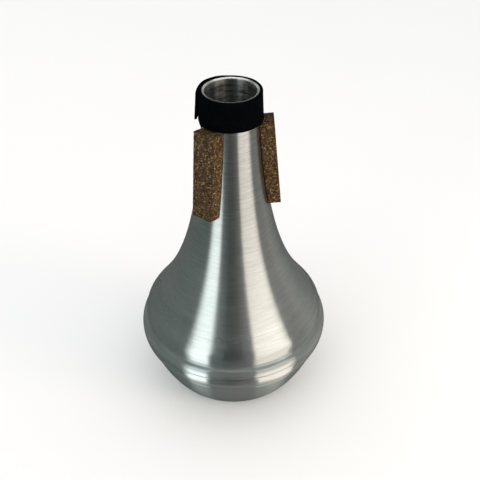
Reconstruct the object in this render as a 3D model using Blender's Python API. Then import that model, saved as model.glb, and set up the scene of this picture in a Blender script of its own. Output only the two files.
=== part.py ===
"""Straight mute for a trumpet: a spun aluminium body with an open neck, a deep
bowl that closes its large end, three cork strips that wedge in the bell, and a
soft black strip wound round the neck end.

Metres, +Z up. The mute stands on the flat of its bowl, with the origin at the
centre of that flat. Azimuths are in degrees from +X towards +Y.
"""

import math

import bmesh
import bpy
from mathutils import Vector

MM = 0.001

# ---------------------------------------------------------------- dimensions
LENGTH = 180.0            # foot to neck rim
SEAM_Z = 37.2             # plane where body and cap meet
CROWN_Z = 36.6            # height of the largest diameter
CROWN_R = 52.86           # largest radius
TURN_STEPS = 40           # sides of the turned pieces

# body: wall, neck and flare
BODY_WALL = 1.3
NECK_R = 14.0             # outside radius at the rim
NECK_PULL = (2.63, 93.0)  # how far the neck's curve is led (outwards, down)
FLARE_END = (47.6, 52.0)  # radius and height where the flare ends
FLARE_SLOPE = 0.735       # outwards per unit down, at the flare's end
FLARE_PULL = 14.7
RIM_EASE = 0.25           # broken edge at the rim

# shoulder bead: one round swelling cut in two by the seam
BEAD_R = 13.3             # radius of its section above the crown
LIP_R = 16.0              # radius of its section below the crown
BEAD_TOP = 42.7           # height where the body's half of the bead begins
LIP_LOW = 27.9            # height where the cap's half of it ends
LAND_END = (50.55, 44.2)  # the flare's foot runs down to here
COVE = (50.78, 43.3)      # bottom of the small cove above the bead
SEAM_HALF = 0.15          # half the gap between the two lips
LIP_EASE = 0.45           # rounding of each lip's edge, which makes the groove

# bowl
CAP_WALL = 1.1
STEP = (49.75, 27.2)      # bottom of the notch under the lip
BOWL_EDGE = (49.70, 26.0) # rounded top edge of the bowl
BOWL_TOP = (49.1, 24.8)
BOWL_TOP_SLOPE = 0.385
BOWL_KNEE = (39.9, 5.4)   # where the bowl turns in to its foot
BOWL_KNEE_SLOPE = 0.66
FOOT_R = 30.0             # radius of the flat it stands on
SKIRT_R = 50.2            # outside radius of the skirt inside the body
SKIRT_TOP = 3.6           # how far it rises above the seam

# seam sealant
SEALANT = (50.5, 50.88, 0.55, 2.55)   # radii, heights above the seam

# neck strip
GAP = 0.3                 # clearance between touching pieces
BAND_T = 1.05
BAND_LOW = 165.2
BAND_START = 125.0        # azimuth of its inner end
BAND_END = 544.0          # azimuth of its outer end, after one turn and a lap
BAND_CLIMB = (450.0, 480.0)
BAND_LIFT = 0.3           # the outer end stands off a little

# corks
CORK_AZIMUTHS = {"right": -0.6, "left": -127.2, "rear": 116.1}
CORK_W = 12.0
CORK_LOW, CORK_HIGH = 119.5, 164.9
CORK_OUT_LOW, CORK_OUT_HIGH = 25.2, 20.9
GLUE_T = 0.3
CORK_CELLS = 8
CORK_STATIONS = 9


# ------------------------------------------------------------------- curves
def bezier(points, count):
    """count + 1 points along the Bezier curve of the given control points."""
    degree = len(points) - 1
    out = []
    for i in range(count + 1):
        t = i / count
        r = z = 0.0
        for k, (pr, pz) in enumerate(points):
            w = math.comb(degree, k) * (1 - t) ** (degree - k) * t ** k
            r += w * pr
            z += w * pz
        out.append((r, z))
    return out


def flare_curve(count):
    """Outside of neck and flare, from the rim down."""
    er, ez = FLARE_END
    return bezier(
        [(NECK_R, LENGTH),
         (NECK_R + NECK_PULL[0], LENGTH - NECK_PULL[1]),
         (er - FLARE_SLOPE * FLARE_PULL, ez + FLARE_PULL),
         (er, ez)], count)


FLARE_FINE = flare_curve(400)


def neck_radius(z):
    """Outside radius of the neck at height z."""
    for (r0, z0), (r1, z1) in zip(FLARE_FINE, FLARE_FINE[1:]):
        if z1 <= z <= z0:
            return r0 + (r1 - r0) * (z0 - z) / (z0 - z1)
    return NECK_R


def bead_radius(z):
    """Radius of the bead at height z."""
    section = BEAD_R if z > CROWN_Z else LIP_R
    return CROWN_R - section + math.sqrt(section ** 2 - (z - CROWN_Z) ** 2)


def foot_of_flare(count):
    """The flare's foot turns down to a steep land above the bead."""
    er, ez = FLARE_END
    return bezier(
        [(er, ez),
         (er + FLARE_SLOPE * 2.0, ez - 2.0),
         (LAND_END[0] - 0.75, LAND_END[1] + 2.4),
         LAND_END], count)


def cove_to_bead(count):
    r = bead_radius(BEAD_TOP)
    return bezier([LAND_END, (COVE[0] - 0.03, COVE[1] + 0.2),
                   (COVE[0] + 0.10, COVE[1] - 0.1), (r, BEAD_TOP)], count)


def bead_curve(top, low, count):
    out = []
    for i in range(count + 1):
        z = top + (low - top) * i / count
        out.append((bead_radius(z), z))
    return out


def body_outside(fine=1):
    """Outside of the body, from the rim down to its lip."""
    low = SEAM_Z + SEAM_HALF
    return ([(NECK_R - RIM_EASE, LENGTH), (NECK_R, LENGTH - RIM_EASE)]
            + flare_curve(18 * fine)[1:]
            + foot_of_flare(4 * fine)[1:]
            + cove_to_bead(3 * fine)[1:]
            + bead_curve(BEAD_TOP, low + LIP_EASE, 4 * fine)[1:]
            + [(bead_radius(low) - 0.12, low + 0.14),
               (bead_radius(low) - LIP_EASE, low)])


def cap_outside(fine=1):
    """Outside of the cap, from its lip down to the foot."""
    top = SEAM_Z - SEAM_HALF
    knee_r, knee_z = BOWL_KNEE
    return ([(bead_radius(top) - LIP_EASE, top),
             (bead_radius(top) - 0.12, top - 0.14)]
            + bead_curve(top - LIP_EASE, LIP_LOW, 5 * fine)
            + [(bead_radius(LIP_LOW) - 0.25, LIP_LOW - 0.35), STEP]
            + bezier([(STEP[0] - 0.02, STEP[1] - 0.5), BOWL_EDGE, BOWL_TOP],
                     2 * fine)
            + bezier([BOWL_TOP,
                      (BOWL_TOP[0] - BOWL_TOP_SLOPE * 5.0, BOWL_TOP[1] - 5.0),
                      (knee_r + BOWL_KNEE_SLOPE * 7.5, knee_z + 7.5),
                      BOWL_KNEE], 7 * fine)[1:]
            + bezier([BOWL_KNEE,
                      (knee_r - BOWL_KNEE_SLOPE * 3.4, knee_z - 3.4),
                      (FOOT_R + 4.2, 0.0),
                      (FOOT_R, 0.0)], 6 * fine)[1:])


def offset_inwards(points, distance):
    """The polyline moved square to itself, towards the axis."""
    out = []
    for i, (r, z) in enumerate(points):
        a = points[max(i - 1, 0)]
        b = points[min(i + 1, len(points) - 1)]
        dr, dz = b[0] - a[0], b[1] - a[1]
        n = math.hypot(dr, dz)
        out.append((r + distance * dz / n, z - distance * dr / n))
    return out


# -------------------------------------------------------------------- tools
def clear_scene():
    for obj in list(bpy.data.objects):
        bpy.data.objects.remove(obj, do_unlink=True)


def material(name, colour, roughness, metallic):
    mat = bpy.data.materials.new(name)
    mat.use_nodes = True
    shader = mat.node_tree.nodes["Principled BSDF"]
    shader.inputs["Base Color"].default_value = (*colour, 1.0)
    shader.inputs["Roughness"].default_value = roughness
    shader.inputs["Metallic"].default_value = metallic
    return mat


def finish(name, bm, mat, parent, angle=30.0):
    bmesh.ops.recalc_face_normals(bm, faces=bm.faces[:])
    mesh = bpy.data.meshes.new(name)
    bm.to_mesh(mesh)
    bm.free()
    mesh.shade_smooth()
    mesh.set_sharp_from_angle(angle=math.radians(angle))
    obj = bpy.data.objects.new(name, mesh)
    bpy.context.collection.objects.link(obj)
    obj.data.materials.append(mat)
    obj.parent = parent
    return obj


def turned(name, profile, mat, parent, closed=True, steps=TURN_STEPS):
    """A piece turned about Z from a profile in the X-Z plane (millimetres)."""
    bm = bmesh.new()
    verts = [bm.verts.new((r * MM, 0.0, z * MM)) for r, z in profile]
    edges = [bm.edges.new(pair) for pair in zip(verts, verts[1:])]
    if closed:
        edges.append(bm.edges.new((verts[-1], verts[0])))
    bmesh.ops.spin(bm, geom=verts + edges, cent=(0, 0, 0), axis=(0, 0, 1),
                   angle=math.tau, steps=steps, use_merge=True)
    bmesh.ops.remove_doubles(bm, verts=bm.verts[:], dist=1e-6)
    return finish(name, bm, mat, parent)


def skin(name, rows, mat, parent, angle=30.0):
    """A closed block from rows of points: rows[i][j] goes round the section
    at station i, and the two ends are closed with strips of quads."""
    bm = bmesh.new()
    grid = [[bm.verts.new(Vector(p) * MM) for p in row] for row in rows]
    n = len(grid[0])
    for a, b in zip(grid, grid[1:]):
        for j in range(n):
            bm.faces.new((a[j], a[(j + 1) % n], b[(j + 1) % n], b[j]))
    half = n // 2
    for row in (grid[0], grid[-1]):
        for j in range(half - 1):
            bm.faces.new((row[j], row[j + 1], row[n - 2 - j], row[n - 1 - j]))
    return finish(name, bm, mat, parent, angle)


# -------------------------------------------------------------------- model
clear_scene()

mute = bpy.data.objects.new("mute", None)
bpy.context.collection.objects.link(mute)

aluminium = material("spun_aluminium", (0.70, 0.71, 0.70), 0.30, 1.0)
bowl_metal = material("spun_aluminium_bowl", (0.66, 0.67, 0.66), 0.34, 1.0)
band_black = material("black_strip", (0.010, 0.010, 0.011), 0.85, 0.0)
cork_right = material("cork_right", (0.110, 0.062, 0.026), 0.90, 0.0)
cork_left = material("cork_left", (0.105, 0.062, 0.028), 0.90, 0.0)
cork_rear = material("cork_rear", (0.108, 0.062, 0.027), 0.90, 0.0)
glue_right = material("glue_right", (0.030, 0.018, 0.010), 0.60, 0.0)
glue_left = material("glue_left", (0.031, 0.019, 0.011), 0.60, 0.0)
glue_rear = material("glue_rear", (0.029, 0.018, 0.010), 0.60, 0.0)
sealant_grey = material("seam_sealant", (0.25, 0.24, 0.22), 0.60, 0.0)

# Body shell: the outside from rim to lip, and the inside back up again.
outer = body_outside()
core = (flare_curve(12)[1:] + foot_of_flare(2)[1:]
        + bead_curve(BEAD_TOP, SEAM_Z + 1.2, 3))
inner = offset_inwards(core, BODY_WALL)
rim_in = NECK_R - BODY_WALL
body_profile = (outer
                + [(inner[-1][0], SEAM_Z + SEAM_HALF)]
                + inner[::-1]
                + [(rim_in, LENGTH - RIM_EASE), (rim_in + RIM_EASE, LENGTH)])
turned("body_shell", body_profile, aluminium, mute)

# End cap: the outside from the centre of the foot up to the lip, over the
# skirt, and down the inside to the centre again.
outside = cap_outside()
lip_in = offset_inwards(bead_curve(SEAM_Z - 1.3, LIP_LOW, 3), CAP_WALL)
bowl_in = offset_inwards(outside[-14:], CAP_WALL)
skirt_in = SKIRT_R - CAP_WALL
inside = ([(SKIRT_R, SEAM_Z - SEAM_HALF),
           (SKIRT_R, SEAM_Z + SKIRT_TOP - 0.2),
           (SKIRT_R - 0.2, SEAM_Z + SKIRT_TOP),
           (skirt_in + 0.2, SEAM_Z + SKIRT_TOP),
           (skirt_in, SEAM_Z + SKIRT_TOP - 0.2),
           (skirt_in, SEAM_Z - SEAM_HALF - CAP_WALL)]
          + lip_in + bowl_in)
cap_profile = ([(0.0, 0.0)] + outside[::-1] + inside + [(0.0, CAP_WALL)])
turned("end_cap", cap_profile, bowl_metal, mute, closed=False)

# Sealant between the cap's skirt and the body.
r0, r1, h0, h1 = SEALANT
turned("seam_sealant",
       [(r0, SEAM_Z + h0), (r1, SEAM_Z + h0), (r1, SEAM_Z + h1), (r0, SEAM_Z + h1)],
       sealant_grey, mute)

# Neck strip: one turn that laps over its own start.
rows = []
stations = 78
for i in range(stations + 1):
    azimuth = BAND_START + (BAND_END - BAND_START) * i / stations
    a, b = BAND_CLIMB
    t = min(max((azimuth - a) / (b - a), 0.0), 1.0)
    climb = t * t * (3 - 2 * t) * (BAND_T + GAP)
    last = min(max((azimuth - (BAND_END - 14.0)) / 14.0, 0.0), 1.0)
    lift = climb + BAND_LIFT * last * last
    c, s = math.cos(math.radians(azimuth)), math.sin(math.radians(azimuth))
    section = []
    for thick, z in ((0.0, BAND_LOW), (BAND_T, BAND_LOW),
                     (BAND_T, LENGTH), (0.0, LENGTH)):
        r = neck_radius(z) + GAP + lift + thick
        section.append((r * c, r * s, z))
    rows.append(section)
skin("neck_band", rows, band_black, mute)


# Corks and the glue under them.
def strip_rows(azimuth, low, high, inner_off, outer_off, width):
    """Rows for a strip on the neck. outer_off is None for a flat outside."""
    c, s = math.cos(math.radians(azimuth)), math.sin(math.radians(azimuth))
    lean = (CORK_OUT_LOW - CORK_OUT_HIGH) / (CORK_HIGH - CORK_LOW)
    rows = []
    for i in range(CORK_STATIONS):
        z0 = low + (high - low) * i / (CORK_STATIONS - 1)
        flat = CORK_OUT_LOW - lean * (z0 - CORK_LOW)
        inner_pts, outer_pts = [], []
        for j in range(CORK_CELLS + 1):
            side = width * (j / CORK_CELLS - 0.5)
            for offset, store in ((inner_off, inner_pts), (outer_off, outer_pts)):
                if offset is None:
                    reach, z = flat, z0
                else:
                    z = z0
                    for _ in range(4):
                        radius = neck_radius(z) + offset
                        reach = math.sqrt(radius ** 2 - side ** 2)
                        z = z0 - (flat - reach) * lean
                store.append((c * reach - s * side, s * reach + c * side, z))
        rows.append(outer_pts + inner_pts[::-1])
    return rows


for place, azimuth in CORK_AZIMUTHS.items():
    cork_mat = {"right": cork_right, "left": cork_left, "rear": cork_rear}[place]
    glue_mat = {"right": glue_right, "left": glue_left, "rear": glue_rear}[place]
    skin("cork_strip_" + place,
         strip_rows(azimuth, CORK_LOW, CORK_HIGH, 2 * GAP + GLUE_T, None, CORK_W),
         cork_mat, mute)
    skin("glue_layer_" + place,
         strip_rows(azimuth, CORK_LOW + 0.4, CORK_HIGH - 0.4, GAP, GAP + GLUE_T,
                    CORK_W - 0.6),
         glue_mat, mute, angle=60.0)
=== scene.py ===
"""Looks of the straight mute: spun aluminium body and bowl, composition cork
strips, the glue under them and the black strip round the neck, in a plain
studio. The lengths in the profile section are millimetres, as in the CAD."""
import math

import bmesh
import bpy
import numpy as np
from mathutils import Matrix, Vector, noise


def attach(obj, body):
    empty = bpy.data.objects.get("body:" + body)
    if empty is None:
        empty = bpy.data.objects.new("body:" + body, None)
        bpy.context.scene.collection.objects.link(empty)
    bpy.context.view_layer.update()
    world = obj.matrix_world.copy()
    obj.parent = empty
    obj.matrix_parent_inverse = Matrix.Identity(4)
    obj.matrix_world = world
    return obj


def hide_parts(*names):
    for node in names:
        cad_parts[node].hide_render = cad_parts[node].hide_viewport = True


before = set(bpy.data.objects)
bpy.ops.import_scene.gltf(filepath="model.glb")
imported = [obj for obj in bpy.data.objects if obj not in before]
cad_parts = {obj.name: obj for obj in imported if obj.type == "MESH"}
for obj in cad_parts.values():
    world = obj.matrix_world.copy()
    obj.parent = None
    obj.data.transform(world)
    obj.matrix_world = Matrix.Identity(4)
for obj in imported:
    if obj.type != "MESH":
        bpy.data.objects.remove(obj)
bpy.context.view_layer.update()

MM = 0.001

# ---------------------------------------------------------------- dimensions
LENGTH = 180.0
SEAM_Z = 37.2
CROWN_Z, CROWN_R = 36.6, 52.86
BODY_WALL, CAP_WALL = 1.3, 1.1
NECK_R = 14.0
NECK_PULL = (2.63, 93.0)
FLARE_END, FLARE_SLOPE, FLARE_PULL = (47.6, 52.0), 0.735, 14.7
BEAD_R, LIP_R = 11.8, 16.0
BEAD_TOP, LIP_LOW = 41.2, 27.9
GROOVE = (49.78, 43.25)   # bottom of the groove over the bead
SEAM_HALF, LIP_EASE = 0.15, 0.45
STEP, BOWL_EDGE = (49.75, 27.2), (49.50, 26.0)
BOWL_TOP, BOWL_TOP_SLOPE = (49.1, 24.8), 0.385
BOWL_KNEE, BOWL_KNEE_SLOPE = (39.9, 5.4), 0.66
FOOT_R = 30.0
SKIRT_R, SKIRT_TOP = 50.2, 3.6
BAND_LOW, BAND_T, GAP = 165.2, 1.05, 0.3
BAND_START, BAND_END = 125.0, 544.0
BAND_CLIMB = (450.0, 480.0)
CORK_AZIMUTHS = {"right": -0.6, "left": -127.2, "rear": 116.1}
CORK_W = 12.0
CORK_LOW, CORK_HIGH = 119.5, 164.9
CORK_OUT_LOW, CORK_OUT_HIGH = 25.2, 20.9
CORK_BACK = 0.55          # the cork's inner face above the metal, glue between
TURN = 216                # sides of the turned pieces


# ------------------------------------------------------------------- curves
def bezier(points, count):
    degree = len(points) - 1
    out = []
    for i in range(count + 1):
        t = i / count
        r = z = 0.0
        for k, (pr, pz) in enumerate(points):
            w = math.comb(degree, k) * (1 - t) ** (degree - k) * t ** k
            r += w * pr
            z += w * pz
        out.append((r, z))
    return out


def arc(centre, radius, start, end, count):
    return [(centre[0] + radius * math.cos(math.radians(start + (end - start) * i / count)),
             centre[1] + radius * math.sin(math.radians(start + (end - start) * i / count)))
            for i in range(count + 1)]


def flare_curve(count):
    er, ez = FLARE_END
    return bezier([(NECK_R, LENGTH),
                   (NECK_R + NECK_PULL[0], LENGTH - NECK_PULL[1]),
                   (er - FLARE_SLOPE * FLARE_PULL, ez + FLARE_PULL),
                   (er, ez)], count)


FLARE_FINE = flare_curve(600)
FINE_R = np.array([p[0] for p in FLARE_FINE][::-1])
FINE_Z = np.array([p[1] for p in FLARE_FINE][::-1])


def neck_radius(z):
    return float(np.interp(z, FINE_Z, FINE_R))


def bead_radius(z):
    section = BEAD_R if z > CROWN_Z else LIP_R
    return CROWN_R - section + math.sqrt(section ** 2 - (z - CROWN_Z) ** 2)


def bead_curve(top, low, count):
    return [(bead_radius(top + (low - top) * i / count),
             top + (low - top) * i / count) for i in range(count + 1)]


def foot_of_flare(count):
    """The flare turns upright and a little under at its foot."""
    er, ez = FLARE_END
    return bezier([(er, ez), (er + FLARE_SLOPE * 3.3, ez - 3.3),
                   (GROOVE[0] + 0.26, GROOVE[1] + 2.6), GROOVE], count)


def groove_to_bead(count):
    r = bead_radius(BEAD_TOP)
    return bezier([GROOVE, (GROOVE[0] - 0.10, GROOVE[1] - 0.45),
                   (GROOVE[0] + 0.25, GROOVE[1] - 0.90),
                   (r - 0.66, BEAD_TOP + 0.98), (r, BEAD_TOP)], count)


def offset_inwards(points, distance):
    out = []
    for i, (r, z) in enumerate(points):
        a = points[max(i - 1, 0)]
        b = points[min(i + 1, len(points) - 1)]
        dr, dz = b[0] - a[0], b[1] - a[1]
        n = math.hypot(dr, dz)
        out.append((r + distance * dz / n, z - distance * dr / n))
    return out


def body_profile():
    """Closed profile: over the rim, down the outside, round the lip and up
    the inside."""
    low = SEAM_Z + SEAM_HALF
    outside = (arc((NECK_R - 0.26, LENGTH - 0.26), 0.26, 90, 0, 6)
               + flare_curve(110)[1:]
               + foot_of_flare(20)[1:]
               + groove_to_bead(18)[1:]
               + bead_curve(BEAD_TOP, low + LIP_EASE, 18)[1:]
               + arc((bead_radius(low) - LIP_EASE + 0.02, low + LIP_EASE),
                     LIP_EASE - 0.02, -12, -90, 6))
    core = (flare_curve(70)[1:] + foot_of_flare(8)[1:]
            + bead_curve(BEAD_TOP, SEAM_Z + 1.2, 8))
    inside = offset_inwards(core, BODY_WALL)
    rim_in = NECK_R - BODY_WALL
    chamfer = [(rim_in, LENGTH - 0.66), (rim_in + 0.02, LENGTH - 0.52),
               (rim_in + 0.07, LENGTH - 0.41), (rim_in + 0.20, LENGTH - 0.325),
               (rim_in + 0.42, LENGTH - 0.235), (rim_in + 0.64, LENGTH - 0.145),
               (rim_in + 0.86, LENGTH - 0.060), (rim_in + 0.95, LENGTH - 0.018),
               (rim_in + 1.00, LENGTH)]
    return outside + [(inside[-1][0], low)] + inside[::-1] + chamfer, len(outside)


def cap_profile():
    """From the centre of the foot up to the lip, over the skirt and down the
    inside to the centre again."""
    top = SEAM_Z - SEAM_HALF
    kr, kz = BOWL_KNEE
    lip = arc((bead_radius(top) - LIP_EASE + 0.02, top - LIP_EASE),
              LIP_EASE - 0.02, 90, 8, 6)
    bead = bead_curve(top - LIP_EASE, LIP_LOW, 30)
    notch = bezier([bead[-1], (bead[-1][0] - 0.42, LIP_LOW - 0.42),
                    (STEP[0] - 0.10, STEP[1] + 0.15), STEP], 6)[1:]
    edge = bezier([STEP, (STEP[0] - 0.02, STEP[1] - 0.5), BOWL_EDGE, BOWL_TOP], 8)[1:]
    bowl = bezier([BOWL_TOP, (BOWL_TOP[0] - BOWL_TOP_SLOPE * 5.0, BOWL_TOP[1] - 5.0),
                   (kr + BOWL_KNEE_SLOPE * 7.5, kz + 7.5), BOWL_KNEE], 30)[1:]
    knee = bezier([BOWL_KNEE, (kr - BOWL_KNEE_SLOPE * 3.4, kz - 3.4),
                   (FOOT_R + 4.2, 0.0), (FOOT_R, 0.0)], 18)[1:]
    foot = [(24.0, 0.0), (16.0, 0.0), (8.0, 0.0), (2.0, 0.0)]
    outside = lip + bead[1:] + notch + edge + bowl + knee + foot
    skirt_in = SKIRT_R - CAP_WALL
    lip_in = offset_inwards(bead_curve(SEAM_Z - 1.3, LIP_LOW, 8), CAP_WALL)
    bowl_in = offset_inwards(edge[-1:] + bowl[::2] + knee[1::2], CAP_WALL)
    inside = ([(SKIRT_R, top), (SKIRT_R, SEAM_Z + SKIRT_TOP - 0.2),
               (SKIRT_R - 0.2, SEAM_Z + SKIRT_TOP),
               (skirt_in + 0.2, SEAM_Z + SKIRT_TOP),
               (skirt_in, SEAM_Z + SKIRT_TOP - 0.2),
               (skirt_in, top - CAP_WALL)]
              + lip_in + bowl_in + [(16.0, CAP_WALL), (2.0, CAP_WALL)])
    return [(0.0, 0.0)] + outside[::-1] + inside + [(0.0, CAP_WALL)], len(outside) + 1


# --------------------------------------------------------------- mesh makers
def new_object(name, verts, faces, mat, sharp=32.0):
    mesh = bpy.data.meshes.new(name)
    mesh.from_pydata([tuple(v) for v in verts], [], faces)
    mesh.validate()
    bm = bmesh.new()
    bm.from_mesh(mesh)
    bmesh.ops.recalc_face_normals(bm, faces=bm.faces[:])
    bm.to_mesh(mesh)
    bm.free()
    mesh.shade_smooth()
    mesh.set_sharp_from_angle(angle=math.radians(sharp))
    mesh.materials.append(mat)
    obj = bpy.data.objects.new(name, mesh)
    bpy.context.scene.collection.objects.link(obj)
    return obj


def turned(name, profile, outer, mat, closed):
    """A piece turned about Z. Its points carry the way the tool went: the
    direction round the axis, and the distance along the profile. A second
    layer tells the inside, from point number outer on, from the outside."""
    count = len(profile)
    run, along = 0.0, []
    for i, p in enumerate(profile):
        if i:
            run += math.dist(profile[i - 1], p)
        along.append(run)
    verts, lay, inner, rings = [], [], [], []
    for i, ((r, z), s) in enumerate(zip(profile, along)):
        inner += [float(outer <= i < count - 9)] * (1 if r < 1e-6 else TURN)
        if r < 1e-6:
            rings.append([len(verts)] * TURN)
            verts.append((0.0, 0.0, z * MM))
            lay.append((0.0, 0.0, s * MM))
            continue
        start = len(verts)
        for k in range(TURN):
            a = math.tau * k / TURN
            verts.append((r * MM * math.cos(a), r * MM * math.sin(a), z * MM))
            lay.append((math.cos(a), math.sin(a), s * MM))
        rings.append(list(range(start, start + TURN)))
    faces = []
    for i in range(count if closed else count - 1):
        a, b = rings[i], rings[(i + 1) % count]
        for k in range(TURN):
            q = (a[k], a[(k + 1) % TURN], b[(k + 1) % TURN], b[k])
            face = tuple(dict.fromkeys(q))
            if len(face) > 2:
                faces.append(face)
    obj = new_object(name, verts, faces, mat, 34.0)
    data = obj.data.attributes.new("lay", "FLOAT_VECTOR", "POINT")
    data.data.foreach_set("vector", np.array(lay, np.float32).ravel())
    data = obj.data.attributes.new("inside", "FLOAT", "POINT")
    data.data.foreach_set("value", np.array(inner, np.float32))
    return obj


def lattice_shell(counts):
    """Surface of a lattice of counts cells: its points and its quads."""
    nx, ny, nz = counts
    index, points, faces = {}, [], []

    def at(i, j, k):
        key = (i, j, k)
        if key not in index:
            index[key] = len(points)
            points.append(key)
        return index[key]

    for k in (0, nz):
        for i in range(nx):
            for j in range(ny):
                faces.append((at(i, j, k), at(i + 1, j, k), at(i + 1, j + 1, k), at(i, j + 1, k)))
    for j in (0, ny):
        for i in range(nx):
            for k in range(nz):
                faces.append((at(i, j, k), at(i + 1, j, k), at(i + 1, j, k + 1), at(i, j, k + 1)))
    for i in (0, nx):
        for j in range(ny):
            for k in range(nz):
                faces.append((at(i, j, k), at(i, j + 1, k), at(i, j + 1, k + 1), at(i, j, k + 1)))
    return points, faces


def smoothstep(low, high, x):
    t = min(max((x - low) / (high - low), 0.0), 1.0)
    return t * t * (3 - 2 * t)


def push(obj, amount):
    """Moves each point along its normal by amount(point, normal), in mm."""
    mesh = obj.data
    moved = []
    for v in mesh.vertices:
        d = amount(v.co / MM, v.normal)
        moved.append(v.co + v.normal * d * MM)
    for v, p in zip(mesh.vertices, moved):
        v.co = p
    mesh.update()


# ---------------------------------------------------------------- node trees
class Graph:
    """Short names for building a node tree."""

    def __init__(self, tree):
        self.tree = tree

    def node(self, kind, inputs=None, **props):
        n = self.tree.nodes.new(kind)
        for k, v in props.items():
            setattr(n, k, v)
        for k, v in (inputs or {}).items():
            self.put(n.inputs[k], v)
        return n

    def put(self, socket, value):
        if isinstance(value, bpy.types.NodeSocket):
            self.tree.links.new(value, socket)
        else:
            socket.default_value = value

    def math(self, op, a, b=None, c=None, clamp=False):
        n = self.node("ShaderNodeMath", operation=op, use_clamp=clamp)
        for i, v in enumerate((a, b, c)):
            if v is not None:
                self.put(n.inputs[i], v)
        return n.outputs[0]

    def mix(self, factor, a, b, blend="MIX"):
        n = self.node("ShaderNodeMix", data_type="RGBA", blend_type=blend)
        self.put(n.inputs[0], factor)
        self.put(n.inputs[6], a)
        self.put(n.inputs[7], b)
        return n.outputs[2]

    def spread(self, value, low, high, to_low=0.0, to_high=1.0, kind="SMOOTHSTEP"):
        n = self.node("ShaderNodeMapRange", interpolation_type=kind)
        for i, v in enumerate((value, low, high, to_low, to_high)):
            self.put(n.inputs[i], v)
        return n.outputs[0]

    def ramp(self, factor, stops, kind="LINEAR"):
        n = self.node("ShaderNodeValToRGB")
        n.color_ramp.interpolation = kind
        while len(n.color_ramp.elements) > 1:
            n.color_ramp.elements.remove(n.color_ramp.elements[-1])
        for i, (pos, colour) in enumerate(stops):
            e = n.color_ramp.elements[0] if i == 0 else n.color_ramp.elements.new(pos)
            e.position = pos
            e.color = (*colour, 1.0) if len(colour) == 3 else colour
        self.put(n.inputs[0], factor)
        return n.outputs[0]

    def noise(self, vector, scale, detail=2.0, roughness=0.5, out="Fac"):
        n = self.node("ShaderNodeTexNoise", {"Scale": scale, "Detail": detail,
                                             "Roughness": roughness})
        self.put(n.inputs["Vector"], vector)
        return n.outputs[out]

    def voronoi(self, vector, scale, feature="F1", out="Color", randomness=1.0):
        n = self.node("ShaderNodeTexVoronoi", {"Scale": scale, "Randomness": randomness},
                      feature=feature)
        self.put(n.inputs["Vector"], vector)
        return n.outputs[out]

    def scaled(self, vector, scale):
        n = self.node("ShaderNodeVectorMath", {0: vector, 1: scale}, operation="MULTIPLY")
        return n.outputs[0]

    def bump(self, height, distance, strength=1.0, normal=None):
        n = self.node("ShaderNodeBump", {"Strength": strength, "Distance": distance})
        self.put(n.inputs["Height"], height)
        if normal is not None:
            self.put(n.inputs["Normal"], normal)
        return n.outputs[0]


def new_material(name, **sockets):
    mat = bpy.data.materials.new(name)
    mat.use_nodes = True
    shader = mat.node_tree.nodes["Principled BSDF"]
    for k, v in sockets.items():
        shader.inputs[k.replace("_", " ")].default_value = v
    return mat, Graph(mat.node_tree), shader


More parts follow.
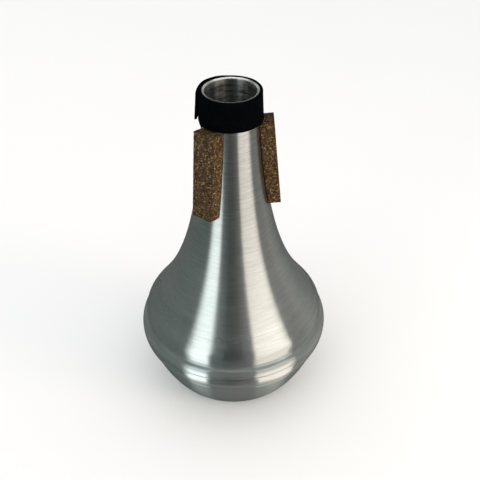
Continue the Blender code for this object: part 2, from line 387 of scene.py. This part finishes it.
def spun_metal(name, tone, rough, lines=1.0, dullness_and_painted_shade=(), low_polish=0.0):
    """Aluminium turned on a lathe: fine grooves round the axis, so gloss is
    drawn out along the profile and stays narrow round it. Each zone in the
    list of heights (from, full, full, to, amount, darkening) makes the finish paler and less shiny by amount,
    and darkens its colour by the last number: painted shade that dims its reflections there; a negative number
    brightens the colour instead, a painted highlight."""
    mat, g, shader = new_material(name, Anisotropic=1.0, Anisotropic_Rotation=0.25)
    lay = g.node("ShaderNodeAttribute", attribute_name="lay").outputs["Vector"]
    inside = g.node("ShaderNodeAttribute", attribute_name="inside").outputs["Fac"]
    tangent = g.node("ShaderNodeTangent", direction_type="RADIAL", axis="Z")
    g.put(shader.inputs["Tangent"], tangent.outputs[0])
    at = g.node("ShaderNodeTexCoord").outputs["Object"]
    height = g.node("ShaderNodeSeparateXYZ", {0: at}).outputs[2]
    # Grooves: short across the profile, long round the axis.
    fine = g.noise(g.scaled(lay, (0.0016, 0.0016, 1.0)), 2600.0, 3.0, 0.65)
    broad = g.noise(g.scaled(lay, (0.004, 0.004, 1.0)), 520.0, 2.0, 0.5)
    patch = g.noise(g.scaled(lay, (0.35, 0.35, 20.0)), 5.0, 3.0, 0.55)
    grit = g.noise(at, 2300.0, 2.0, 0.6)
    grooves = g.math("ADD", g.math("MULTIPLY", fine, 0.62), g.math("MULTIPLY", broad, 0.38))
    shade = g.spread(grooves, 0.34, 0.66, 0.88, 1.07, "LINEAR")
    shade = g.math("MULTIPLY", shade, g.spread(grit, 0.3, 0.7, 0.955, 1.035, "LINEAR"))
    shade = g.math("MULTIPLY", shade, g.spread(patch, 0.3, 0.7, 0.97, 1.02, "LINEAR"))
    # the upper neck took a coarser cut and is darker towards the top; the bore shows turning lines and streaks,
    # and is darkened all over: painted shade inside the tube
    coarse = g.noise(g.scaled(lay, (0.0013, 0.0013, 1.0)), 1500.0, 1.0, 0.5)
    coarse = g.math("MULTIPLY", g.spread(coarse, 0.36, 0.64, -0.085, 0.075, "LINEAR"),
                    g.spread(height, 0.060, 0.125, 0.25, 1.0))
    shade = g.math("MULTIPLY", shade, g.math("ADD", coarse, 1.0))
    shade = g.math("MULTIPLY", shade, g.spread(height, 0.075, 0.135, 1.0, 0.86))
    turning = g.noise(g.scaled(lay, (0.0018, 0.0018, 1.0)), 860.0, 3.0, 0.65)
    streak = g.noise(g.scaled(lay, (1.0, 1.0, 9.0)), 4.5, 3.0, 0.65)
    bore_lines_and_shade = g.math("MULTIPLY", g.spread(turning, 0.38, 0.62, 0.26, 0.92, "LINEAR"),
                  g.spread(streak, 0.36, 0.64, 0.74, 1.10, "LINEAR"))
    shade = g.math("MULTIPLY", shade, g.math("ADD", 1.0, g.math("MULTIPLY", inside,
                                                                  g.math("SUBTRACT", bore_lines_and_shade, 1.0))))
    dull = g.math("MULTIPLY", inside, 0.02)
    # each zone makes the finish duller and darkens its colour, painted shade; a negative last number brightens
    # it, a painted highlight
    for a, b, c, d, amount, painted_shade in dullness_and_painted_shade:
        zone = g.math("MULTIPLY", g.spread(height, a * MM, b * MM),
                      g.spread(height, c * MM, d * MM, 1.0, 0.0))
        dull = g.math("MAXIMUM", dull, g.math("MULTIPLY", zone, amount))
        shade = g.math("MULTIPLY", shade, g.math("SUBTRACT", 1.0, g.math("MULTIPLY", zone, painted_shade)))
    # where the finish is dull its colour is greener: painted cool light that offsets the warm lamp there
    cast = g.mix(g.math("MULTIPLY", dull, 6.0, clamp=True), (*tone, 1.0),
                 (tone[0] * 0.92, tone[1], tone[2] * 0.985, 1.0))
    # the rim: its cut face is matt, and its outer edge is darker
    split = g.node("ShaderNodeSeparateXYZ", {0: at}).outputs
    radius = g.math("SQRT", g.math("ADD", g.math("MULTIPLY", split[0], split[0]),
                                   g.math("MULTIPLY", split[1], split[1])))
    rim_edge_darkening = g.math("MULTIPLY", g.spread(radius, 0.01362, 0.01376), g.spread(height, 0.1792, 0.1794))
    shade = g.math("MULTIPLY", shade, g.math("SUBTRACT", 1.0, g.math("MULTIPLY", rim_edge_darkening, 0.86)))
    dull = g.math("MAXIMUM", dull, g.math("MULTIPLY", g.spread(height, 0.17925, 0.17945), 0.24))
    colour = g.node("ShaderNodeVectorMath", operation="MULTIPLY")
    g.put(colour.inputs[0], cast)
    g.put(colour.inputs[1], shade)
    g.put(shader.inputs["Base Color"], colour.outputs[0])
    g.put(shader.inputs["Metallic"],
          g.math("SUBTRACT", g.spread(patch, 0.3, 0.7, 1.0, 0.99, "LINEAR"), dull))
    swing = g.math("MULTIPLY", g.spread(grooves, 0.3, 0.7, -0.035 * lines, 0.035 * lines, "LINEAR"),
                   g.spread(height, 0.056, 0.092, 0.10, 1.0))
    r = g.math("ADD", swing, rough)
    r = g.math("ADD", r, g.spread(patch, 0.3, 0.7, -0.015, 0.02, "LINEAR"))
    r = g.math("SUBTRACT", r, g.spread(height, 0.044, 0.072, low_polish, 0.0))
    r = g.math("SUBTRACT", r, g.spread(height, 0.1791, 0.1794, 0.0, 0.10))
    g.put(shader.inputs["Roughness"], r)
    relief = g.math("MULTIPLY", grooves, g.spread(height, 0.058, 0.100, 0.05, 1.0))
    relief = g.math("ADD", relief, g.math("MULTIPLY", inside, g.math("MULTIPLY", turning, 2.5)))
    g.put(shader.inputs["Normal"], g.bump(relief, 0.00003 * lines, 0.35))
    return mat


def cork_material(name, tint):
    """Composition cork: granules of many browns in a dark binder."""
    mat, g, shader = new_material(name, Metallic=0.0)
    shader.inputs["Specular IOR Level"].default_value = 0.18
    at = g.node("ShaderNodeTexCoord").outputs["Object"]
    wobble = g.node("ShaderNodeVectorMath", operation="ADD")
    g.put(wobble.inputs[0], at)
    g.put(wobble.inputs[1], g.scaled(g.noise(at, 900.0, 2.0, 0.5, "Color"), (0.0007, 0.0007, 0.0007)))
    at = wobble.outputs[0]
    grain = g.voronoi(at, 1450.0)
    small = g.voronoi(at, 3000.0)
    edge = g.voronoi(at, 1450.0, "DISTANCE_TO_EDGE", "Distance")
    pick = g.node("ShaderNodeSeparateColor", {"Color": grain})
    pick2 = g.node("ShaderNodeSeparateColor", {"Color": small})
    base = g.ramp(pick.outputs[0], [
        (0.00, (0.012, 0.005, 0.002)), (0.24, (0.032, 0.016, 0.005)),
        (0.52, (0.078, 0.044, 0.016)), (0.78, (0.135, 0.084, 0.034)),
        (0.93, (0.240, 0.165, 0.075)), (1.00, (0.400, 0.290, 0.150))])
    base = g.mix(g.math("MULTIPLY", pick2.outputs[1], 0.30), base,
                 g.ramp(pick2.outputs[0], [(0.0, (0.035, 0.020, 0.009)),
                                           (1.0, (0.150, 0.105, 0.058))]))
    binder = g.spread(edge, 0.0, 0.10, 0.66, 0.0)
    base = g.mix(binder, base, (0.020, 0.010, 0.004, 1.0))
    cloud = g.noise(at, 160.0, 2.0, 0.5)
    base = g.mix(g.spread(cloud, 0.3, 0.7, 0.0, 0.22), base, (0.050, 0.030, 0.014, 1.0))
    final = g.node("ShaderNodeVectorMath", {0: base, 1: tint}, operation="MULTIPLY")
    g.put(shader.inputs["Base Color"], final.outputs[0])
    g.put(shader.inputs["Roughness"], g.spread(pick.outputs[1], 0.0, 1.0, 0.68, 0.92, "LINEAR"))
    height = g.math("ADD", g.math("MULTIPLY", g.spread(edge, 0.0, 0.14), 0.7),
                    g.math("MULTIPLY", pick.outputs[2], 0.5))
    height = g.math("ADD", height, g.math("MULTIPLY", g.noise(at, 4200.0, 2.0, 0.6), 0.35))
    g.put(shader.inputs["Normal"], g.bump(height, 0.00012, 0.8))
    return mat


def band_material():
    """Soft black strip: fine pores, next to no gloss."""
    mat, g, shader = new_material("black_foam_strip", Metallic=0.0)
    shader.inputs["Specular IOR Level"].default_value = 0.02
    at = g.node("ShaderNodeTexCoord").outputs["Object"]
    pores = g.voronoi(at, 3200.0, "F1", "Distance")
    nap = g.noise(at, 1500.0, 3.0, 0.6)
    dust = g.noise(at, 240.0, 3.0, 0.55)
    tone = g.mix(g.spread(nap, 0.3, 0.7), (0.0006, 0.0008, 0.0014, 1.0),
                 (0.0015, 0.0018, 0.0027, 1.0))
    tone = g.mix(g.spread(dust, 0.45, 0.8, 0.0, 0.30), tone, (0.0040, 0.0042, 0.0050, 1.0))
    g.put(shader.inputs["Base Color"], tone)
    g.put(shader.inputs["Roughness"], g.spread(nap, 0.2, 0.8, 0.86, 0.98, "LINEAR"))
    height = g.math("ADD", g.math("MULTIPLY", pores, 0.5), g.math("MULTIPLY", nap, 0.8))
    g.put(shader.inputs["Normal"], g.bump(height, 0.00008, 0.7))
    return mat


def glue_and_gap_shade_material():
    mat, g, shader = new_material("dried_glue_and_gap_shade", Metallic=0.0)
    at = g.node("ShaderNodeTexCoord").outputs["Object"]
    n = g.noise(at, 700.0, 3.0, 0.6)
    # near black: dark dried glue, and painted shade of the gap under the cork's edges
    g.put(shader.inputs["Base Color"], g.ramp(n, [(0.25, (0.002, 0.0014, 0.001)),
                                                   (0.75, (0.012, 0.008, 0.005))]))
    g.put(shader.inputs["Roughness"], g.spread(n, 0.2, 0.8, 0.35, 0.62, "LINEAR"))
    g.put(shader.inputs["Normal"], g.bump(n, 0.00010, 0.6))
    return mat


def sealant_material():
    mat, g, shader = new_material("seam_adhesive", Metallic=0.0)
    at = g.node("ShaderNodeTexCoord").outputs["Object"]
    n = g.noise(at, 500.0, 3.0, 0.6)
    g.put(shader.inputs["Base Color"], g.ramp(n, [(0.25, (0.19, 0.18, 0.16)),
                                                   (0.75, (0.30, 0.29, 0.26))]))
    g.put(shader.inputs["Roughness"], g.spread(n, 0.2, 0.8, 0.45, 0.70, "LINEAR"))
    g.put(shader.inputs["Normal"], g.bump(n, 0.00015, 0.5))
    return mat


# -------------------------------------------------------------------- pieces
# the first zone brightens the bead's colour, a painted highlight; the second darkens the crease between flare
# and bead, painted shade
body_metal = spun_metal("spun_aluminium_body", (0.925, 0.930, 0.925), 0.31,
                        dullness_and_painted_shade=((37.0, 38.0, 41.0, 43.0, 0.020, -0.10),
                              (38.9, 41.0, 41.7, 44.8, 0.165, 0.50)), low_polish=0.08)
# the bowl's first zone darkens its colour all the way down, painted shade that dims its reflections and the
# glint at its step
bowl_metal = spun_metal("spun_aluminium_bowl", (0.925, 0.930, 0.922), 0.19, 0.8,
                        dullness_and_painted_shade=((-1.0, -0.5, 27.4, 29.0, 0.165, 0.45),
                              (-1.0, -0.5, 31.6, 33.4, 0.050, 0.0)))

body = turned("mute_body", *body_profile(), body_metal, True)
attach(body, "root")
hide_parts("body_shell")

bowl = turned("mute_bowl", *cap_profile(), bowl_metal, False)
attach(bowl, "root")
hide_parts("end_cap")

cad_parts["seam_sealant"].data.materials.clear()
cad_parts["seam_sealant"].data.materials.append(sealant_material())


# Corks and glue.
def on_neck(side, z0, lean, flat, offset):
    """Point of the neck, offset outwards, straight behind a point of the
    cork's flat face: how far out, and how high."""
    z = z0
    for _ in range(5):
        radius = neck_radius(z) + offset
        reach = math.sqrt(max(radius ** 2 - side ** 2, 0.0))
        z = z0 - (flat - reach) * lean
    return reach, z


LEAN = (CORK_OUT_LOW - CORK_OUT_HIGH) / (CORK_HIGH - CORK_LOW)


def strip(name, azimuth, low, high, width, inner_off, outer_off, cell, mat, ease, splay=0.0):
    """A closed strip on the neck with eased edges. outer_off None makes the
    cork's flat outside."""
    flat_mid = CORK_OUT_LOW - LEAN * ((low + high) / 2 - CORK_LOW)
    thick = (flat_mid - neck_radius((low + high) / 2)) if outer_off is None else outer_off - inner_off
    counts = (max(int(width / cell), 2), max(int(thick / cell), 2), max(int((high - low) / cell), 2))
    points, faces = lattice_shell(counts)
    c, s = math.cos(math.radians(azimuth)), math.sin(math.radians(azimuth))
    backs = {}
    verts = []
    for i, j, k in points:
        side = width * (i / counts[0] - 0.5)
        deep = thick * j / counts[1]
        tall = (high - low) * k / counts[2]
        # ease the outer edges: pull the point onto a rounded box
        q = [min(max(side, -width / 2 + ease), width / 2 - ease),
             min(deep, thick - ease) if outer_off is None else min(max(deep, ease), thick - ease),
             min(max(tall, ease), high - low - ease)]
        d = Vector((side - q[0], deep - q[1], tall - q[2]))
        if d.length > ease:
            d = d.normalized() * ease
            side, deep, tall = q[0] + d[0], q[1] + d[1], q[2] + d[2]
        z0 = low + tall
        flat = CORK_OUT_LOW - LEAN * (z0 - CORK_LOW)
        key = (round(side, 4), round(z0, 4))
        if key not in backs:
            backs[key] = (on_neck(side, z0, LEAN, flat, inner_off),
                          (flat, z0) if outer_off is None
                          else on_neck(side, z0, LEAN, flat, outer_off))
        (ri, zi), (ro, zo) = backs[key]
        t = deep / thick
        if side < 0.0:
            side *= 1.0 + splay * tall / (high - low) * smoothstep(0.25, 0.60, t)
        reach, z = ri + (ro - ri) * t, zi + (zo - zi) * t
        verts.append((MM * (c * reach - s * side), MM * (s * reach + c * side), MM * z))
    return new_object(name, verts, faces, mat, 50.0)


def cork_relief(seed):
    shift = Vector((31.7 * seed, 11.3 * seed, 7.9 * seed))

    def amount(p, n):
        at = (p + shift) / 0.72
        dist, _ = noise.voronoi(at)
        seam = 1.0 - smoothstep(0.0, 0.22, dist[1] - dist[0])
        cell = noise.cell(at * 0.9)
        pit = smoothstep(0.80, 0.95, noise.noise((p + shift) * 0.9) * 0.5 + 0.5)
        wave = noise.noise((p + shift) * 0.16)
        return (0.035 * cell - 0.085 * seam - 0.22 * pit
                + 0.05 * wave - 0.02)
    return amount


glue_and_gap_shade_mat = glue_and_gap_shade_material()
cork_tints = {"right": (0.92, 0.855, 0.84), "left": (0.92, 0.90, 0.91), "rear": (0.96, 0.89, 0.87)}
for number, (place, azimuth) in enumerate(CORK_AZIMUTHS.items()):
    mat = cork_material("composition_cork_" + place, cork_tints[place])
    cork = strip("cork_" + place, azimuth, CORK_LOW, CORK_HIGH, CORK_W,
                 CORK_BACK, None, 0.27, mat, 0.22, 0.08 if place == "left" else 0.0)
    push(cork, cork_relief(number + 1))
    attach(cork, "root")
    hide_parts("cork_strip_" + place)

    glue = strip("glue_" + place, azimuth, CORK_LOW + 0.15, CORK_HIGH - 0.15,
                 CORK_W - 0.15, 0.03, CORK_BACK + 0.03, 0.26, glue_and_gap_shade_mat, 0.10)
    c, s = math.cos(math.radians(azimuth)), math.sin(math.radians(azimuth))

    def squeeze(p, n, c=c, s=s, number=number):
        side = -s * p.x + c * p.y
        rim = smoothstep(CORK_W / 2 - 0.9, CORK_W / 2 - 0.1, abs(side))
        end = max(smoothstep(CORK_LOW + 1.2, CORK_LOW, p.z), smoothstep(CORK_HIGH - 1.2, CORK_HIGH, p.z))
        flow = noise.noise(Vector((p.x, p.y, p.z + 40 * number)) * 0.55)
        out = n.x * c + n.y * s
        return max(rim, end) * (0.06 + 0.14 * flow) * (1.0 - abs(out))
    push(glue, squeeze)
    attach(glue, "root")
    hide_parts("glue_layer_" + place)


# Neck strip: one turn that laps over its own start.
def band_section(t, b, ease, steps):
    """Rounded rectangle, thickness t (0 inside) by height b (0 at the foot)."""
    pts = []
    for (cx, cy), a0 in (((t - ease, ease), -90), ((t - ease, b - ease), 0),
                         ((ease, b - ease), 90), ((ease, ease), 180)):
        for i in range(steps + 1):
            a = math.radians(a0 + 90 * i / steps)
            pts.append((cx + ease * math.cos(a), cy + ease * math.sin(a)))
    out = []
    for i, p in enumerate(pts):
        q = pts[(i + 1) % len(pts)]
        out.append(p)
        gap = math.dist(p, q)
        n = int(gap / 0.55)
        for k in range(1, n):
            out.append((p[0] + (q[0] - p[0]) * k / n, p[1] + (q[1] - p[1]) * k / n))
    return out


def make_band():
    height = LENGTH - BAND_LOW
    section = band_section(BAND_T, height, 0.24, 4)
    stations = 420
    verts, rings = [], []
    for i in range(stations + 1):
        u = i / stations
        azimuth = BAND_START + (BAND_END - BAND_START) * u
        a, b = BAND_CLIMB
        climb = smoothstep(a, b, azimuth) * (BAND_T + GAP)
        last = min(max((azimuth - (BAND_END - 14.0)) / 14.0, 0.0), 1.0)
        waves = 0.06 * noise.noise(Vector((azimuth * 0.045, 0.0, 3.0)))
        ring = []
        for t, h in section:
            low = h < height / 2
            z = BAND_LOW + h
            z += (waves - 0.05) * (1 if low else 0.35) * abs(h / height - 0.5) * 2
            if low:
                z -= 0.20 * smoothstep(178.0, 200.0, azimuth) * smoothstep(320.0, 250.0, azimuth)
                z -= 1.15 * smoothstep(190.0, 207.0, azimuth) * smoothstep(208.2, 206.8, azimuth)
            else:
                z -= 1.6 * smoothstep(500.0, 542.0, azimuth)
            z = min(z, LENGTH)
            # the outer end stands off, more at its foot than at its top
            lift = climb + last * last * (0.02 + 0.46 * (1 - h / height))
            end_shift = 1.3 * (u > 0.5) * smoothstep(0.985, 1.0, u) * (0.5 - h / height)
            hug = 0.27 if t < BAND_T / 2 else 0.0
            if azimuth > b:
                hug = 0.24 if t < BAND_T / 2 else 0.0
            if t > BAND_T / 2:
                lift += 0.42 * smoothstep(378.0, 410.0, azimuth) * smoothstep(479.0, 455.0, azimuth)
            r = neck_radius(z) + GAP - hug + lift + t
            ang = math.radians(azimuth + end_shift)
            ring.append(len(verts))
            verts.append((MM * r * math.cos(ang), MM * r * math.sin(ang), MM * z))
        rings.append(ring)
    faces = []
    n = len(section)
    for a, b in zip(rings, rings[1:]):
        for j in range(n):
            faces.append((a[j], a[(j + 1) % n], b[(j + 1) % n], b[j]))
    for ring in (rings[0], rings[-1]):
        # fan the flat ends from a middle point
        mid = Vector((0, 0, 0))
        for v in ring:
            mid += Vector(verts[v])
        centre = len(verts)
        verts.append(tuple(mid / len(ring)))
        for j in range(n):
            faces.append((ring[j], ring[(j + 1) % n], centre))
    band = new_object("neck_strip", verts, faces, band_material(), 60.0)

    def nap(p, n):
        return (0.028 * noise.noise(p * 1.7) + 0.018 * noise.noise(p * 4.3) - 0.02)
    push(band, nap)
    return band


band = make_band()
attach(band, "root")
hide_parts("neck_band")


# --------------------------------------------------------------------- stage
def make_floor():
    mesh = bpy.data.meshes.new("floor")
    size, z = 4.0, -0.0003
    mesh.from_pydata([(-size, -size, z), (size, -size, z), (size, size, z), (-size, size, z)],
                     [], [(0, 1, 2, 3)])
    mat = bpy.data.materials.new("pale_floor")
    mat.use_nodes = True
    g = Graph(mat.node_tree)
    shader = mat.node_tree.nodes["Principled BSDF"]
    shader.inputs["Roughness"].default_value = 0.9
    shader.inputs["Specular IOR Level"].default_value = 0.1
    at = g.node("ShaderNodeTexCoord").outputs["Object"]
    g.put(shader.inputs["Base Color"], g.mix(g.noise(at, 6.0, 2.0, 0.5), (0.90, 0.90, 0.895, 1.0),
                                             (0.92, 0.92, 0.915, 1.0)))
    # the sheet is only there when seen from above
    out = mat.node_tree.nodes["Material Output"]
    clear = g.node("ShaderNodeBsdfTransparent")
    both = g.node("ShaderNodeMixShader")
    g.put(both.inputs[0], g.node("ShaderNodeNewGeometry").outputs["Backfacing"])
    g.put(both.inputs[1], shader.outputs[0])
    g.put(both.inputs[2], clear.outputs[0])
    g.put(out.inputs["Surface"], both.outputs[0])
    mesh.materials.append(mat)
    floor = bpy.data.objects.new("floor", mesh)
    bpy.context.scene.collection.objects.link(floor)
    floor.visible_glossy = False


make_floor()


def make_world():
    """Pale all round for the floor and the matt pieces. What shines sees a
    dim room with a tall cool window at the left and a wide warm one at the
    right."""
    world = bpy.data.worlds.new("studio")
    bpy.context.scene.world = world
    world.use_nodes = True
    world.cycles.sampling_method = "NONE"
    tree = world.node_tree
    tree.nodes.clear()
    g = Graph(tree)
    way = g.node("ShaderNodeSeparateXYZ")
    g.put(way.inputs[0], g.node("ShaderNodeTexCoord").outputs["Generated"])
    x, y, z = way.outputs
    turn = g.math("MULTIPLY", g.math("ARCTAN2", x, g.math("MULTIPLY", y, -1.0)), 180.0 / math.pi)
    rise = g.math("MULTIPLY", g.math("ARCSINE", g.math("MINIMUM", g.math("MAXIMUM", z, -1.0), 1.0)),
                  180.0 / math.pi)

    def at(deg):
        return (deg + 180.0) / 360.0
    room = g.ramp(g.math("ADD", g.math("DIVIDE", turn, 360.0), 0.5), [
        (at(-180), (0.078, 0.087, 0.083)),
        (at(-140), (0.088, 0.101, 0.096)),
        (at(-118), (0.108, 0.128, 0.121)),
        (at(-80), (0.095, 0.118, 0.111)),
        (at(-60), (0.092, 0.115, 0.110)),
        (at(-18), (0.086, 0.107, 0.103)),
        (at(-9), (0.071, 0.088, 0.085)),
        (at(0), (0.090, 0.094, 0.090)),
        (at(9), (0.118, 0.121, 0.116)),
        (at(18), (0.116, 0.119, 0.116)),
        (at(66), (0.190, 0.190, 0.178)),
        (at(88), (0.182, 0.184, 0.169)),
        (at(104), (0.245, 0.250, 0.232)),
        (at(119), (0.215, 0.220, 0.204)),
        (at(140), (0.120, 0.124, 0.115)),
        (at(180), (0.070, 0.078, 0.075))])
    near = g.spread(rise, -80.0, -62.0, 1.0, 0.0)
    room = g.mix(near, room, (0.130, 0.131, 0.127, 1.0))
    round_back = g.math("ABSOLUTE", turn)
    straight = g.spread(round_back, 148.0, 164.0)
    behind = g.math("MULTIPLY", g.math("SUBTRACT", g.spread(round_back, 128.0, 150.0), straight, clamp=True),
                    g.math("MULTIPLY", g.spread(rise, 10.0, 24.0), g.spread(rise, 34.0, 44.0, 1.0, 0.0)))
    room = g.mix(behind, room, (0.52, 0.53, 0.52, 1.0))
    room = g.mix(g.spread(rise, 56.0, 72.0), room, (0.200, 0.205, 0.200, 1.0))
    lifted = g.math("SUBTRACT", rise, g.math("MULTIPLY", straight, 13.0))
    back = g.math("MULTIPLY", g.spread(round_back, 120.0, 136.0),
                  g.math("MULTIPLY", g.spread(lifted, 50.0, 60.0), g.spread(rise, 84.0, 88.0, 1.0, 0.0)))
    room = g.mix(back, room, (2.20, 2.22, 2.18, 1.0))
    # the dark of the room, straight ahead
    ahead = g.math("MULTIPLY", g.math("MULTIPLY", g.spread(turn, -17.0, -8.0),
                                      g.spread(turn, 6.0, 15.0, 1.0, 0.0)),
                   g.math("MULTIPLY", g.spread(rise, -30.0, 14.0, 0.0, 0.82),
                          g.spread(rise, 36.0, 62.0, 1.0, 0.0)))
    room = g.mix(ahead, room, (0.016, 0.020, 0.019, 1.0))

    # Below eye level the light off the pale table widens the windows.
    spill = g.math("MAXIMUM", g.math("SUBTRACT", -40.0, rise), 0.0)

    def edge(start, lean, tilt):
        return g.math("ADD", g.math("ADD", start, g.math("MULTIPLY", spill, lean)),
                      g.math("MULTIPLY", rise, tilt))

    def window(a, b, c, d, lean_1, lean_2, tilt_1, tilt_2):
        return g.math("MULTIPLY",
                      g.spread(turn, edge(a, lean_1, tilt_1), edge(b, lean_1, tilt_1)),
                      g.spread(turn, edge(c, lean_2, tilt_2), edge(d, lean_2, tilt_2), 1.0, 0.0))
    tall = g.math("MULTIPLY", g.spread(rise, -75.0, -62.0), g.spread(rise, 42.0, 54.0, 1.0, 0.0))
    left = g.math("MULTIPLY", window(-60.5, -49.0, -32.0, -27.0, -1.2, -0.6, 0.0, 0.035), tall)
    right = g.math("MULTIPLY", window(22.3, 26.0, 68.5, 70.5, 0.8, 1.5, 0.030, 0.0), tall)
    cool = g.mix(g.spread(rise, -30.0, 30.0), (0.98, 1.09, 1.06, 1.0), (1.21, 1.34, 1.30, 1.0))
    warm = g.mix(g.spread(rise, -20.0, 40.0), (0.84, 0.790, 0.702, 1.0), (1.50, 1.430, 1.265, 1.0))
    warm = g.mix(g.spread(turn, 26.0, 62.0, 0.15, 0.0, "LINEAR"), warm, (0.0, 0.0, 0.0, 1.0))
    low = g.spread(rise, -56.0, -43.0, 1.0, 0.0)
    cool = g.mix(low, cool, (1.22, 1.34, 1.31, 1.0))
    warm = g.mix(low, warm, (1.22, 1.155, 1.04, 1.0))
    room = g.mix(left, room, cool)
    room = g.mix(right, room, warm)
    paths = g.node("ShaderNodeLightPath")
    seen = g.mix(paths.outputs["Is Glossy Ray"], (1.02, 1.02, 1.02, 1.0), room)
    sky = g.node("ShaderNodeBackground", {"Color": seen, "Strength": 1.0})
    out = g.node("ShaderNodeOutputWorld")
    g.put(out.inputs["Surface"], sky.outputs[0])


make_world()


def soft_light(name, at, aim, size, power, colour, spread=math.pi):
    data = bpy.data.lights.new(name, "AREA")
    data.shape = "RECTANGLE"
    data.size, data.size_y = size
    data.energy = power
    data.color = colour
    data.spread = spread
    lamp = bpy.data.objects.new(name, data)
    bpy.context.scene.collection.objects.link(lamp)
    lamp.location = at
    lamp.rotation_euler = (Vector(aim) - Vector(at)).to_track_quat("-Z", "Y").to_euler()
    lamp.visible_glossy = False
    return lamp


soft_light("warm_side", (1.05, -0.42, 0.22), (0, 0, 0.15), (0.5, 0.3), 0.8, (1.0, 0.80, 0.62), math.radians(50))
soft_light("cool_side", (-0.75, -0.75, 0.60), (0, 0, 0.10), (0.6, 0.9), 1.5, (0.86, 0.96, 1.0))


# -------------------------------------------------------------------- camera
def make_camera():
    yaw, pitch, roll = 0.0126, 0.6493, -0.0056
    ahead = Vector((math.sin(yaw) * math.cos(pitch), math.cos(yaw) * math.cos(pitch), -math.sin(pitch)))
    side = ahead.cross(Vector((0, 0, 1))).normalized()
    up = side.cross(ahead)
    across = math.cos(roll) * side + math.sin(roll) * up
    upright = -math.sin(roll) * side + math.cos(roll) * up
    data = bpy.data.cameras.new("camera")
    data.sensor_fit = "HORIZONTAL"
    data.sensor_width = 36.0
    data.lens = 55.125
    data.clip_start, data.clip_end = 0.01, 20.0
    camera = bpy.data.objects.new("camera", data)
    bpy.context.scene.collection.objects.link(camera)
    m = Matrix((across, upright, -ahead)).transposed().to_4x4()
    m.translation = Vector((0.0, -0.3185271, 0.3326507))
    camera.matrix_world = m
    bpy.context.scene.camera = camera


make_camera()
bpy.context.scene.view_settings.view_transform = "Standard"
